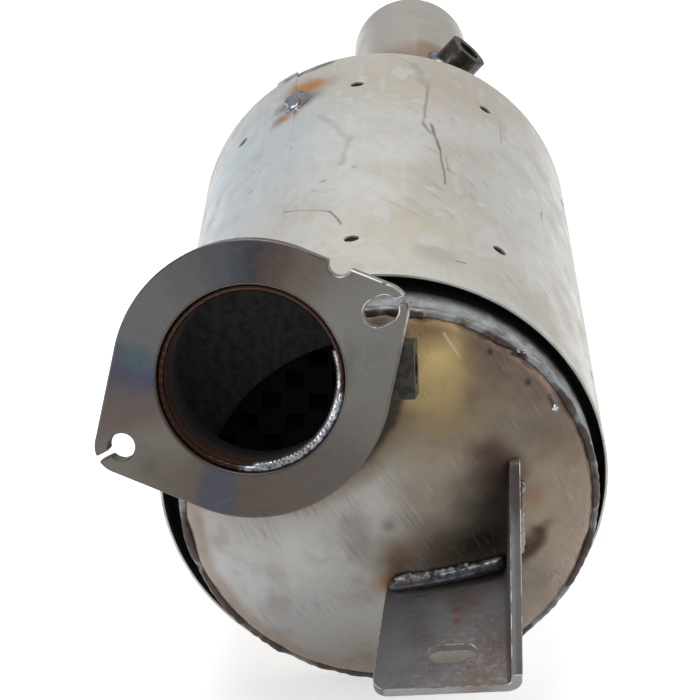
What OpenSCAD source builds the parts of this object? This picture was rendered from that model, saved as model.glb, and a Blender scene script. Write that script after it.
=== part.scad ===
// Diesel particulate filter: a canned ceramic monolith in a heat shield.
// The origin is the centre of the inlet flange face. +Y runs along the body towards the outlet, +Z is up.

/* [Filter] */
// Diameter of the ceramic monolith
monolith_d = 165; // [150:1:180]
// Length of the ceramic monolith
monolith_l = 254; // [200:1:305]
// Pitch of the square channels
channel_pitch = 10; // [9:0.5:16]
// Wall between two channels
channel_wall = 2; // [1.5:0.1:3]
// Skin left solid round the channels
monolith_skin = 3; // [2:0.5:6]
// Depth of the plug that closes one end of each channel
plug_l = 10; // [5:1:20]
// Thickness of the mat space between the monolith and the can
mat_t = 3.5; // [2.5:0.1:6]
// Length of the wire seal at each end of the mat
mat_seal_l = 7; // [4:1:12]

/* [Can] */
// Sheet thickness of the can
can_t = 1.5; // [1:0.1:2.5]
// Room between the monolith and each end of the can
end_room = 30.5; // [28:0.5:60]
// How far the can stands out of the heat shield at each end
can_overhang = 14.5; // [8:0.5:18]

/* [Heat shield] */
// Space for the insulation between the can and the shield
blanket_t = 6.3; // [4:0.1:10]
// How far the insulation stops short of each shield rim
blanket_recess = 18; // [8:1:30]
// Sheet thickness of the shield
shield_t = 1.2; // [0.8:0.1:2]
// Shift of the shield to the right of the can
shield_side = -2.4; // [-3:0.1:3]
// Shift of the shield above the can
shield_rise = 1; // [-2:0.1:2]
// Diameter of the vent holes
vent_d = 6.7; // [4:0.1:10]
// Vent holes in each row
vent_count = 9; // [6:1:10]
// Distance of the front row of vent holes from the front rim
vent_inset = 40; // [30:1:70]
// Set-back of every second hole in the front row
vent_stagger = 19; // [0:1:30]
// Distance of the rear row of vent holes from the rear rim
rear_vent_inset = 46; // [30:1:70]
// Turn of the first vent hole from the top, to the right
vent_turn = -8.5; // [-12:0.5:-2]
// Turn of the lap seam from the top, to the right
seam_turn = -28; // [-32:1:-24]
// Width of the overlap at the seam
lap_w = 12; // [8:1:16]
// Diameter of a tack weld on the seam
tack_d = 11; // [8:0.5:14]
// Height of a tack weld
tack_h = 2.2; // [1.5:0.1:3]

/* [Ends] */
// Sheet thickness of the pressed ends
end_t = 2; // [1.5:0.1:3]
// Radius of the pressed knuckle at the rim
knuckle_r = 8; // [6:0.5:14]
// Crown radius of the pressed ends
crown_r = 190; // [150:5:260]
// Length of the skirt that slides into the can
skirt_l = 20; // [12:1:24]
// How far the knuckle starts inside the can edge
rim_set = 2; // [1:0.5:4]
// Radius of the round weld bead on the seams
bead_r = 2.4; // [1.8:0.1:3]
// Gap between the seam bead and the overhanging neck
bead_gap = 0.6; // [0.3:0.1:2]

/* [Inlet flange] */
// Thickness of the flange
flange_t = 7.8; // [6:0.1:8.5]
// Diameter of the round part of the flange
flange_d = 109; // [103:1:114]
// Distance of each bolt hole from the middle
bolt_reach = 57.5; // [56:0.1:64]
// Radius of the ears
ear_r = 10.8; // [9:0.1:14]
// How far the straight edges lie inside the tangents of the disc and the ears
edge_set = 0.05; // [0.02:0.01:0.2]
// Turn of the right ear above the horizontal
ear_turn = 30; // [20:1:40]
// Diameter of the round bolt hole
bolt_d = 10.5; // [8.5:0.5:12]
// Width of the slotted bolt hole
slot_w = 10.8; // [8.5:0.1:13]
// Length of the slotted bolt hole
slot_l = 14; // [13.5:0.1:18]
// Width of the slits from the bolt holes to the ear tips
slit_w = 2.2; // [1:0.1:3]
// Radius of the locating notch in the rim
notch_r = 4.5; // [3:0.5:6]
// Turn of the locating notch above the horizontal
notch_turn = 54; // [52:1:80]
// Upward tilt of the flange face
flange_pitch = 16.9; // [12:0.1:20]
// Turn of the flange face to the left
flange_yaw = 5.2; // [0:0.1:10]

/* [Inlet neck] */
// Outer diameter of the inlet pipe
inlet_d = 73.5; // [70:0.5:78]
// Wall of the inlet pipe
inlet_t = 2; // [1.5:0.1:3]
// How far the pipe end lies behind the flange face
inlet_recess = 4; // [2:0.5:5]
// Length of the collar
collar_l = 5; // [4:0.5:7]
// Length of the flared neck behind the collar
neck_l = 30; // [24:1:40]
// Radius of the neck at its wide end
neck_base_r = 54; // [46:1:58]
// Distance of the body axis to the right of the flange
axis_side = 54.1; // [50:0.1:60]
// Distance of the body axis below the flange
axis_drop = 79.7; // [74:0.1:84]
// Distance of the shield rim behind the flange
rim_behind = 66.2; // [64:0.1:76]

/* [Outlet] */
// Outer diameter of the outlet pipe
outlet_d = 63.5; // [50:0.5:66]
// Wall of the outlet pipe
outlet_t = 1.5; // [1.2:0.1:2.5]
// Distance of the outlet pipe to the right of the body axis
outlet_side = 12; // [0:0.1:20]
// Height of the outlet pipe above the body axis
outlet_rise = 46.7; // [30:0.1:48]
// Reach of the outlet pipe past the can
outlet_reach = 137; // [100:1:180]

/* [Sensor bosses] */
// Bore of both sensor threads
port_d = 12.4; // [10:0.1:13]
// Height of the square boss on the inlet
boss_w = 21.6; // [18:0.1:24]
// Width of the square boss along the inlet pipe
boss_l = 19; // [16:0.5:20]
// End of the square boss, from the inlet pipe axis
boss_reach = 63; // [54:1:70]
// Gap between the flange and the weld of the square boss
boss_gap = 0.8; // [0.5:0.1:2]
// Gap between the weld of the square boss and the weld of the collar
collar_gap = 0.5; // [0.3:0.1:2]
// Turn of the square boss above the horizontal
boss_turn = 4; // [-6:1:10]
// Diameter of the round boss on the outlet
round_boss_d = 22; // [18:0.5:26]
// Height of the round boss
round_boss_h = 14; // [8:0.5:24]
// Distance of the round boss behind the can
round_boss_at = 36; // [34:1:80]
// Turn of the round boss from the top, to the right
round_boss_turn = 41; // [0:1:90]

/* [Bracket] */
// Sheet thickness of the bracket
bracket_t = 4.5; // [3:0.5:6]
// Outer radius of the bend
bend_r = 6.5; // [6.5:0.5:10]
// Length of the leaf from the end cone to its front edge
leaf_l = 63.5; // [55:0.5:85]
// Width of the leaf at its front edge
leaf_front_w = 60.5; // [52:0.5:70]
// Width of the leaf at the end cone
leaf_back_w = 53.5; // [45:0.5:60]
// Height of the fin at its top
fin_h = 47.5; // [34:0.5:50]
// Height of the fin at the front edge
fin_front_h = 5.5; // [3:0.5:10]
// Outward lean of the fin from square to the leaf
fin_lean = 4.5; // [0:0.5:8]
// Distance of the fin face to the right of the body axis
bracket_side = 53.5; // [46:0.5:58]
// Distance of the leaf below the body axis at the fin
bracket_drop = 23; // [18:1:30]
// Downward slope of the leaf
leaf_slope = 17; // [12:1:22]
// Sideways roll of the leaf
leaf_roll = 4.5; // [0:0.5:8]
// Length of the bolt slot in the leaf
leaf_slot_l = 20; // [14:0.5:26]
// Width of the bolt slot in the leaf
leaf_slot_w = 9.6; // [8:0.1:13]
// Distance of the bolt slot from the end cone
leaf_slot_at = 46; // [40:0.5:50]
// Distance of the bolt slot from the fin face
leaf_slot_side = 27.5; // [24:0.5:32]
// Radius of the rounded corners
corner_r = 6; // [3:0.5:8]

/* [Welds] */
// Gap between sheets that slide into each other
fit_gap = 0.1; // [0.05:0.01:0.2]
// Leg of the pipe and boss welds
weld_leg = 1.5; // [1:0.1:1.5]
// Leg of the bracket welds
bracket_weld_leg = 4; // [3:0.5:6]

/* [Hidden] */
$fn = 96;
cut = 1;

monolith_r = monolith_d / 2;
can_ir = monolith_r + mat_t;
can_r = can_ir + can_t;
shield_ir = can_r + blanket_t;
shield_r = shield_ir + shield_t;
can_l = monolith_l + 2 * end_room;
shield_l = can_l - 2 * can_overhang;
can_front = -can_overhang;
can_back = shield_l + can_overhang;
monolith_front = can_front + end_room;
cell_w = channel_pitch - channel_wall;

inlet_r = inlet_d / 2;
bore_r = inlet_r + 2 * fit_gap;
collar_bore_r = inlet_r + fit_gap;
collar_r = collar_bore_r + end_t;
boss_at = flange_t + boss_gap + weld_leg + boss_l / 2;
collar_at = boss_at + boss_l / 2 + 2 * weld_leg + collar_gap;
collar_back = collar_at + collar_l;
neck_back = collar_back + neck_l;
outlet_r = outlet_d / 2;

skirt_r = can_ir - fit_gap;
knuckle_mid = skirt_r - knuckle_r;
crown_mid = -sqrt(pow(crown_r - knuckle_r, 2) - pow(knuckle_mid, 2));
knuckle_end = asin(knuckle_mid / (crown_r - knuckle_r));
neck_base_at = can_front - bead_r - bead_gap;
lap_angle = lap_w / shield_r * 180 / PI;
bracket_root = can_front + rim_set - crown_mid - sqrt(pow(crown_r, 2) - pow(bracket_side, 2));
bracket_back = crown_r + crown_mid;

steel = [0.72, 0.70, 0.66];
tinted_steel = [0.62, 0.55, 0.46];
flange_steel = [0.44, 0.42, 0.39];
bead_steel = [0.50, 0.52, 0.55];
ceramic_grey = [0.45, 0.43, 0.40];
mat_white = [0.86, 0.84, 0.80];
wire_grey = [0.40, 0.40, 0.40];
blanket_dark = [0.12, 0.12, 0.11];

// Frame of the flange: z leaves the face, x runs right and y up
module on_flange()
    rotate([0, 0, -flange_yaw]) rotate([90 - flange_pitch, 0, 0]) children();

// Frame at the middle of the shield's front rim, with the axes of the part
module at_body()
    translate([axis_side, rim_behind, -axis_drop]) children();

// Frame of the body: z runs back along the axis, -y is up
module on_body()
    at_body() rotate([-90, 0, 0]) children();

// Frame of the shield, which sits a little off the axis of the can
module on_shield()
    on_body() translate([shield_side, -shield_rise, 0]) children();

// Turns its children from the top of the body to the right
module turned(angle, along)
    rotate([0, 0, angle]) translate([0, 0, along]) rotate([90, 0, 0]) children();

module tube(outer, inner, from, to)
    translate([0, 0, from])
        difference() {
            cylinder(r = outer, h = to - from);
            translate([0, 0, -cut]) cylinder(r = inner, h = to - from + 2 * cut);
        }

// Points of an arc from one angle to another
function arc(mid, r, from, to, steps = 6) =
    [for (i = [0 : steps]) let (a = from + (to - from) * i / steps) mid + r * [cos(a), sin(a)]];

// Outline of a pressed end, thinned by an inset, with its knuckle at zero and its skirt below
module dome_outline(inset, depth) {
    lean = [sin(knuckle_end), cos(knuckle_end)];
    translate([0, -depth]) square([skirt_r - inset, depth]);
    translate([knuckle_mid, 0]) intersection() {
        circle(r = knuckle_r - inset);
        translate([-knuckle_r, 0]) square(2 * knuckle_r);
    }
    intersection() {
        translate([0, crown_mid]) circle(r = crown_r - inset);
        polygon([[0, 0], [knuckle_mid, 0], [knuckle_mid, 0] + 2 * knuckle_r * lean, [0, crown_r]]);
    }
}

module dome_solid(inset, depth)
    rotate_extrude() dome_outline(inset, depth);

module front_dome(inset, depth)
    on_body() translate([0, 0, can_front + rim_set]) mirror([0, 0, 1]) dome_solid(inset, depth);

module rear_dome(inset, depth)
    on_body() translate([0, 0, can_back - rim_set]) dome_solid(inset, depth);

// The flared neck between the collar and the dome, closed by a flat wall where it overhangs the can
module neck(inset)
    intersection() {
        on_flange() translate([0, 0, -neck_back])
            cylinder(r1 = neck_base_r - inset, r2 = collar_r - inset, h = neck_back - collar_back);
        at_body() translate([-flange_d - axis_side, -rim_behind, -flange_d])
            cube([2 * flange_d + axis_side, rim_behind + neck_base_at - inset, 2 * flange_d + axis_drop]);
    }

// Outline of the flange: a disc with two ears on straight tangent edges
module flange_outline() {
    lean = acos((flange_d / 2 - ear_r) / bolt_reach);
    circle(d = flange_d);
    for (side = [0, 180]) rotate(side) {
        translate([bolt_reach, 0]) circle(r = ear_r);
        polygon([(flange_d / 2 - edge_set) * [cos(lean), -sin(lean)],
            [bolt_reach, 0] + (ear_r - edge_set) * [cos(lean), -sin(lean)],
            [bolt_reach, 0] + (ear_r - edge_set) * [cos(lean), sin(lean)],
            (flange_d / 2 - edge_set) * [cos(lean), sin(lean)]]);
    }
}

module long_hole(length, width, depth) {
    for (end = [-1, 1]) translate([end * (length - width) / 2, 0, 0]) cylinder(d = width, h = depth);
    translate([(width - length) / 2, -width / 2, 0]) cube([length - width, width, depth]);
}

module inlet_flange()
    color(flange_steel) on_flange() difference() {
        translate([0, 0, -flange_t]) linear_extrude(flange_t) rotate(ear_turn) flange_outline();
        translate([0, 0, -flange_t - cut]) {
            cylinder(r = bore_r, h = flange_t + 2 * cut);
            rotate(ear_turn) {
                translate([-bolt_reach, 0, 0]) cylinder(d = bolt_d, h = flange_t + 2 * cut);
                translate([bolt_reach, 0, 0]) long_hole(slot_l, slot_w, flange_t + 2 * cut);
                for (side = [0, 180]) rotate(side)
                    translate([bolt_reach, -slit_w / 2, 0]) cube([2 * ear_r, slit_w, flange_t + 2 * cut]);
            }
            rotate(notch_turn) translate([flange_d / 2 + notch_r / 2, 0, 0])
                cylinder(r = notch_r, h = flange_t + 2 * cut);
        }
    }

// Frame of the square boss: x runs out along its port
module on_inlet_boss()
    on_flange() rotate(boss_turn) translate([0, 0, -boss_at]) children();

module inlet_port()
    on_inlet_boss() rotate([0, 90, 0]) cylinder(d = port_d, h = boss_reach + cut);

module inlet_pipe()
    color(tinted_steel) difference() {
        on_flange() tube(inlet_r, inlet_r - inlet_t, -collar_back, -inlet_recess);
        inlet_port();
    }

module inlet_sensor_boss()
    color(flange_steel) difference() {
        on_inlet_boss() translate([0, -boss_w / 2, -boss_l / 2]) cube([boss_reach, boss_w, boss_l]);
        on_flange() translate([0, 0, -collar_back]) cylinder(r = inlet_r + fit_gap, h = collar_back);
        inlet_port();
    }

module front_end_cone()
    color(tinted_steel) difference() {
        union() {
            front_dome(0, skirt_l);
            neck(0);
            on_flange() translate([0, 0, -collar_back]) cylinder(r = collar_r, h = collar_l);
        }
        front_dome(end_t, skirt_l + cut);
        neck(end_t);
        on_flange() translate([0, 0, -collar_back - cut]) cylinder(r = collar_bore_r, h = collar_back);
    }

module can_shell()
    color(steel) on_body() tube(can_r, can_ir, can_front, can_back);

module outlet_bar(r, from, to)
    on_body() translate([outlet_side, -outlet_rise, from]) cylinder(r = r, h = to - from);

module rear_end_plate()
    color(steel) difference() {
        rear_dome(0, skirt_l);
        rear_dome(end_t, skirt_l + cut);
        outlet_bar(outlet_r + fit_gap, can_back - skirt_l, can_back + outlet_reach);
    }

// Frame of the round boss: z runs out along its port
module on_outlet_boss()
    on_body() translate([outlet_side, -outlet_rise, 0]) turned(round_boss_turn, can_back + round_boss_at) children();

module outlet_port()
    on_outlet_boss() cylinder(d = port_d, h = outlet_r + round_boss_h + cut);

module outlet_pipe()
    color(steel) difference() {
        on_body() translate([outlet_side, -outlet_rise, 0])
            tube(outlet_r, outlet_r - outlet_t, can_back - rim_set, can_back + outlet_reach);
        outlet_port();
    }

module outlet_sensor_boss()
    color(flange_steel) difference() {
        on_outlet_boss() cylinder(d = round_boss_d, h = outlet_r + round_boss_h);
        outlet_bar(outlet_r + fit_gap, can_back, can_back + outlet_reach);
        outlet_port();
    }

module shield_lap(inner, outer, from, to)
    translate([0, 0, from]) rotate(seam_turn - 90 - lap_angle)
        rotate_extrude(angle = lap_angle) translate([inner, 0]) square([outer - inner, to - from]);

module heat_shield()
    color(steel) on_shield() difference() {
        union() {
            tube(shield_r, shield_ir, 0, shield_l);
            shield_lap(shield_r - shield_t / 2, shield_r + shield_t, 0, shield_l);
        }
        for (i = [0 : vent_count - 1], row = [vent_inset + i % 2 * vent_stagger, shield_l - rear_vent_inset])
            turned(vent_turn + i * 360 / vent_count, row)
                translate([0, 0, can_r]) cylinder(d = vent_d, h = 3 * shield_t + blanket_t);
    }

module insulation_blanket()
    color(blanket_dark) difference() {
        on_shield() translate([0, 0, blanket_recess])
            cylinder(r = shield_ir - fit_gap, h = shield_l - 2 * blanket_recess);
        on_body() cylinder(r = can_r + fit_gap, h = shield_l);
    }

// Square channels of one kind, set like the fields of one colour on a chessboard
module channels(kind) {
    reach = floor(monolith_r / channel_pitch);
    room = monolith_r - monolith_skin;
    for (i = [-reach : reach], j = [-reach : reach])
        if (abs(i + j) % 2 == kind
            && norm([abs(i), abs(j)] * channel_pitch + [cell_w, cell_w] / 2) < room)
            translate([i, j] * channel_pitch) square(cell_w, center = true);
}

module filter_monolith()
    color(ceramic_grey) on_body() translate([0, 0, monolith_front]) difference() {
        cylinder(r = monolith_r, h = monolith_l);
        for (kind = [0, 1])
            translate([0, 0, kind == 0 ? -cut : plug_l])
                linear_extrude(monolith_l - plug_l + cut) channels(kind);
    }

module mat_ring(from, to)
    on_body() tube(can_ir - fit_gap, monolith_r + fit_gap, monolith_front + from, monolith_front + to);

module support_mat()
    color(mat_white) mat_ring(mat_seal_l, monolith_l - mat_seal_l);

module front_mat_seal()
    color(wire_grey) mat_ring(0, mat_seal_l);

module rear_mat_seal()
    color(wire_grey) mat_ring(monolith_l - mat_seal_l, monolith_l);

// Frame of the bracket: x = 0 is the fin face, z = 0 the leaf's top, y runs back to the end cone
module on_bracket()
    at_body() translate([bracket_side, bracket_root, -bracket_drop])
        rotate([leaf_slope, 0, 0]) rotate([0, -leaf_roll, 0]) children();

// Section of the folded sheet
module bracket_section() {
    bend_mid = [-bend_r, bend_r - bracket_t];
    across = [cos(fin_lean), -sin(fin_lean)];
    up = [sin(fin_lean), cos(fin_lean)];
    polygon(concat(
        [[-leaf_front_w, 0], [-leaf_front_w, -bracket_t]],
        arc(bend_mid, bend_r, 270, 360 - fin_lean, 10),
        [bend_mid + bend_r * across + fin_h * up, bend_mid + (bend_r - bracket_t) * across + fin_h * up],
        arc(bend_mid, bend_r - bracket_t, 360 - fin_lean, 270, 10)));
}

// Outline of the leaf from above
module leaf_plan() {
    taper = atan2(leaf_front_w - leaf_back_w, leaf_l);
    polygon(concat(
        [[fin_h, leaf_l], [-leaf_back_w + leaf_front_w - leaf_back_w, leaf_l]],
        arc([corner_r / cos(taper) - leaf_front_w + corner_r * tan(taper), corner_r - leaf_l], corner_r,
            180 - taper, 270),
        [[fin_h, -leaf_l]]));
}

// Outline of the fin from the side
module fin_side(back) {
    rise = atan2(fin_h - fin_front_h, leaf_l + back / 2);
    polygon(concat(
        [[back, -bracket_t], [back, fin_h]],
        arc([back / 2 + corner_r * tan(rise / 2), fin_h - corner_r], corner_r, 90, 90 + rise),
        [[-leaf_l, fin_front_h], [-leaf_l, -bracket_t]]));
}

module bracket_blank(back)
    intersection() {
        translate([0, back, 0]) rotate([90, 0, 0]) linear_extrude(leaf_l + back) bracket_section();
        translate([0, 0, -bracket_t]) linear_extrude(bracket_t + fin_h) leaf_plan();
        translate([-leaf_front_w, 0, 0]) rotate([90, 0, 90]) linear_extrude(leaf_front_w + fin_h) fin_side(back);
    }

module mounting_bracket()
    color(flange_steel) difference() {
        on_bracket() difference() {
            bracket_blank(bracket_back);
            translate([-leaf_slot_side, -leaf_slot_at, -bracket_t - cut])
                long_hole(leaf_slot_l, leaf_slot_w, bracket_t + 2 * cut);
        }
        front_dome(0, skirt_l);
    }

module flange_weld()
    color(bead_steel) on_flange() rotate_extrude()
        polygon([[inlet_r - inlet_t + fit_gap, -inlet_recess],
            [bore_r, -inlet_recess],
            [bore_r, -inlet_recess / 4]]);

module inlet_pipe_weld()
    color(bead_steel) on_flange() rotate_extrude()
        polygon([[inlet_r, -collar_at], [collar_r, -collar_at], [inlet_r, weld_leg - collar_at]]);

module seam_bead(at)
    on_body() translate([0, 0, at]) rotate_extrude() translate([can_ir, 0]) circle(r = bead_r, $fn = 32);

module front_seam_weld()
    color(bead_steel) difference() {
        seam_bead(can_front);
        can_shell();
        front_dome(0, skirt_l);
    }

module rear_seam_weld()
    color(bead_steel) difference() {
        seam_bead(can_back);
        can_shell();
        rear_dome(0, skirt_l);
    }

module outlet_pipe_weld()
    color(bead_steel) difference() {
        intersection() {
            outlet_bar(outlet_r + 2 * weld_leg, can_back, can_back + outlet_reach);
            rear_dome(-2 * weld_leg, weld_leg);
        }
        rear_dome(0, skirt_l);
        outlet_bar(outlet_r, can_back - skirt_l, can_back + outlet_reach);
    }

module bracket_welds()
    color(bead_steel) difference() {
        intersection() {
            on_bracket() {
                translate([bracket_weld_leg - leaf_back_w, -leaf_l / 2, 0])
                    cube([leaf_back_w - bracket_t - 2 * bracket_weld_leg, leaf_l, bracket_weld_leg]);
                translate([-bend_r, -leaf_l / 2, bend_r - bracket_t]) rotate([0, fin_lean, 0])
                    translate([bend_r, 0, bracket_weld_leg])
                        cube([bracket_weld_leg, leaf_l, fin_h - corner_r - 2 * bracket_weld_leg]);
            }
            front_dome(-bracket_weld_leg, weld_leg);
        }
        front_dome(0, skirt_l);
    }

module sensor_boss_welds()
    color(bead_steel) {
        difference() {
            intersection() {
                on_inlet_boss() translate([0, -boss_w / 2 - weld_leg, -boss_l / 2 - weld_leg])
                    cube([boss_reach, boss_w + 2 * weld_leg, boss_l + 2 * weld_leg]);
                on_flange() tube(inlet_r + weld_leg, inlet_r, -collar_back, -inlet_recess);
            }
            on_inlet_boss() translate([0, -boss_w / 2, -boss_l / 2]) cube([boss_reach, boss_w, boss_l]);
        }
        difference() {
            intersection() {
                on_outlet_boss() cylinder(d = round_boss_d + 2 * weld_leg, h = outlet_d);
                outlet_bar(outlet_r + weld_leg, can_back, can_back + outlet_reach);
            }
            on_outlet_boss() cylinder(d = round_boss_d, h = outlet_d);
            outlet_bar(outlet_r, can_back - cut, can_back + outlet_reach + cut);
        }
    }

module shield_tack_welds() {
    ball_r = (pow(tack_d / 2, 2) + pow(tack_h, 2)) / (2 * tack_h);
    color(bead_steel) on_shield() difference() {
        for (row = [vent_inset, shield_l - rear_vent_inset])
            turned(seam_turn, row) translate([0, 0, shield_r + tack_h - ball_r]) sphere(r = ball_r);
        cylinder(r = shield_r, h = shield_l, $fn = 360);
        shield_lap(shield_ir, shield_r + shield_t, 0, shield_l, $fn = 360);
    }
}

inlet_flange();
inlet_pipe();
inlet_sensor_boss();
front_end_cone();
can_shell();
rear_end_plate();
outlet_pipe();
outlet_sensor_boss();
heat_shield();
insulation_blanket();
filter_monolith();
support_mat();
front_mat_seal();
rear_mat_seal();
mounting_bracket();
flange_weld();
inlet_pipe_weld();
front_seam_weld();
rear_seam_weld();
outlet_pipe_weld();
bracket_welds();
sensor_boss_welds();
shield_tack_welds();
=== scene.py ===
# %% [markdown]
# # A diesel particulate filter
# The part is a ceramic filter in a welded stainless can, wrapped in a heat shield. Its shapes come from
# CAD, so this lesson loads those solids as a fixed frame and gives them their looks: rippled welds, softened
# edges and steel that heat has coloured.

from math import atan2, copysign, cos, pi, radians, sin, sqrt

import bmesh
import bpy
from mathutils import Matrix, Vector, noise
from mathutils.bvhtree import BVHTree


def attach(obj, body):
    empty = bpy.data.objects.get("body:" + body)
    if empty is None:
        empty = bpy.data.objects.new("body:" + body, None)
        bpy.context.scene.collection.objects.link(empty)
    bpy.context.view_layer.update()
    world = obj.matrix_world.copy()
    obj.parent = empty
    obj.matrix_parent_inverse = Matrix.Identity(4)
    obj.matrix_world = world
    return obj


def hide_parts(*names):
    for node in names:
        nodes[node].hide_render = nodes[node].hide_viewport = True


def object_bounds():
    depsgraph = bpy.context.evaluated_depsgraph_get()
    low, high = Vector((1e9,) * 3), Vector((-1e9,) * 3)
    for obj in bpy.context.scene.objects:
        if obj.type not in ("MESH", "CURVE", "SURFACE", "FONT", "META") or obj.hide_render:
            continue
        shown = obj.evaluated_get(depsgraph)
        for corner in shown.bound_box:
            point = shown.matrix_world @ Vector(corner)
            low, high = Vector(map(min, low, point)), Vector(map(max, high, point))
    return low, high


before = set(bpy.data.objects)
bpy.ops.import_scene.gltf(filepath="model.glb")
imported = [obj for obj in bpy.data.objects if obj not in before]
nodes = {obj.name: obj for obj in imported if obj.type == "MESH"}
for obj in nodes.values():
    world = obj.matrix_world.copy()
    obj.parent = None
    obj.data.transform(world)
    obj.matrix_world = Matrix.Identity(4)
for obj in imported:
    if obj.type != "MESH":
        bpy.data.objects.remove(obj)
cad_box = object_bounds()
scene = bpy.context.scene
print("nodes in the frame:", len(nodes))

# %% [markdown]
# ## The camera
# A photograph fixes where its camera stood. The two rims of the shield are circles of a known size, so
# fitting their outlines gave the place, the tilt and the lens. A long lens keeps the rims nearly parallel.

# %% Set up the camera
SENSOR_MM, LENS_MM = 36.0, 127.37
CAMERA_AT = (0.05126, -0.86079, 0.41474)
CAMERA_TILT, CAMERA_TURN = radians(64.98), radians(0.839)

lens = bpy.data.cameras.new("photo_camera")
lens.sensor_width = SENSOR_MM
lens.lens = LENS_MM
camera = bpy.data.objects.new("photo_camera", lens)
camera.location = CAMERA_AT
camera.rotation_euler = (CAMERA_TILT, 0.0, CAMERA_TURN)
scene.collection.objects.link(camera)
scene.camera = camera
print("lens in mm:", round(lens.lens, 1))

# %% [markdown]
# ## The floor
# A product picture has a white surround. The floor is a pale diffuse sheet that catches a shadow, with a
# little glow that only the camera and mirror-like rays see. It could be lit brighter instead, but then the
# steel would bleach too, so the glow is the better way to make it white.

# %% Make the floor
FLOOR_GAP, FLOOR_HALF = 0.0004, 6.0
FLOOR_Z = cad_box[0][2] - FLOOR_GAP
FLOOR_GREY, FLOOR_GLOW = 0.86, 0.55


def add_node(near, kind):
    """A new node in the tree that a socket belongs to."""
    return near.id_data.nodes.new(kind)


def link(source, socket):
    source.id_data.links.new(source, socket)


def arithmetic(kind, operation, values):
    """The outputs of a node that reckons with sockets and constants."""
    step = add_node(next(value for value in values if isinstance(value, bpy.types.NodeSocket)), kind)
    step.operation = operation
    for socket, value in zip(step.inputs, values):
        if isinstance(value, bpy.types.NodeSocket):
            link(value, socket)
        else:
            socket.default_value = value
    return step.outputs


def calc(operation, *values):
    return arithmetic("ShaderNodeMath", operation, values)[0]


def seen_directly(tree):
    """1 for rays from the camera or from a mirror-like bounce, else 0."""
    rays = tree.nodes.new("ShaderNodeLightPath").outputs
    seen = calc("MAXIMUM", rays["Is Camera Ray"], rays["Is Glossy Ray"])
    return calc("MAXIMUM", seen, rays["Is Transmission Ray"])


def pale_paper():
    paper = bpy.data.materials.new("pale_paper")
    paper.use_nodes = True
    tree = paper.node_tree
    tree.nodes.clear()
    out = tree.nodes.new("ShaderNodeOutputMaterial")
    matt = tree.nodes.new("ShaderNodeBsdfDiffuse")
    matt.inputs["Color"].default_value = (FLOOR_GREY, FLOOR_GREY, FLOOR_GREY, 1.0)
    glow = tree.nodes.new("ShaderNodeEmission")
    link(calc("MULTIPLY", seen_directly(tree), FLOOR_GLOW), glow.inputs["Strength"])
    both = tree.nodes.new("ShaderNodeAddShader")
    link(matt.outputs[0], both.inputs[0])
    link(glow.outputs[0], both.inputs[1])
    link(both.outputs[0], out.inputs["Surface"])
    return paper


sheet = bmesh.new()
bmesh.ops.create_grid(sheet, x_segments=2, y_segments=2, size=FLOOR_HALF)
bmesh.ops.translate(sheet, verts=sheet.verts, vec=(0.0, 0.0, FLOOR_Z))
floor_mesh = bpy.data.meshes.new("floor")
sheet.to_mesh(floor_mesh)
sheet.free()
floor_mesh.materials.append(pale_paper())
floor = bpy.data.objects.new("floor", floor_mesh)
scene.collection.objects.link(floor)
print("floor at", round(FLOOR_Z, 4))

# %% [markdown]
# ## The light
# Large area lamps make wide, soft highlights on rolled steel. The world adds an even grey from all round,
# and only the camera sees it as white.

# %% Light the scene
SURROUND_LIGHT, SURROUND_SEEN = 0.36, 1.0

scene.view_settings.view_transform = "Standard"
surround = bpy.data.worlds.new("studio")
scene.world = surround
surround.use_nodes = True
sky_tree = surround.node_tree
sky = sky_tree.nodes["Background"]
sky.inputs["Color"].default_value = (1.0, 1.0, 1.0, 1.0)
level = sky_tree.nodes.new("ShaderNodeMapRange")
level.inputs["To Min"].default_value = SURROUND_LIGHT
level.inputs["To Max"].default_value = SURROUND_SEEN
rays = sky_tree.nodes.new("ShaderNodeLightPath").outputs
link(rays["Is Camera Ray"], level.inputs["Value"])
link(level.outputs["Result"], sky.inputs["Strength"])


def soft_lamp(name, place, aim, size, power):
    light = bpy.data.lights.new(name, "AREA")
    light.shape = "DISK"
    light.size = size
    light.energy = power
    lamp = bpy.data.objects.new(name, light)
    lamp.location = place
    lamp.rotation_euler = (Vector(aim) - Vector(place)).to_track_quat("-Z", "Y").to_euler()
    scene.collection.objects.link(lamp)
    return lamp


lamps = [
    soft_lamp("top_softbox", (-0.1, 0.45, 1.5), (0.05, 0.2, -0.05), 1.4, 17.0),
    soft_lamp("left_softbox", (-1.5, -0.7, 0.35), (0.05, 0.1, -0.08), 1.0, 6.5),
    soft_lamp("right_softbox", (1.5, 0.3, 0.7), (0.05, 0.2, -0.08), 1.0, 6.0),
]
print("lamps:", [lamp.name for lamp in lamps])

# %% [markdown]
# ## Where things are
# The part has three local frames: the tilted inlet flange, the axis of the body, and the bracket that is
# welded to the end cone. Working in them keeps every weld where its joint is. All lengths are in metres.

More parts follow.
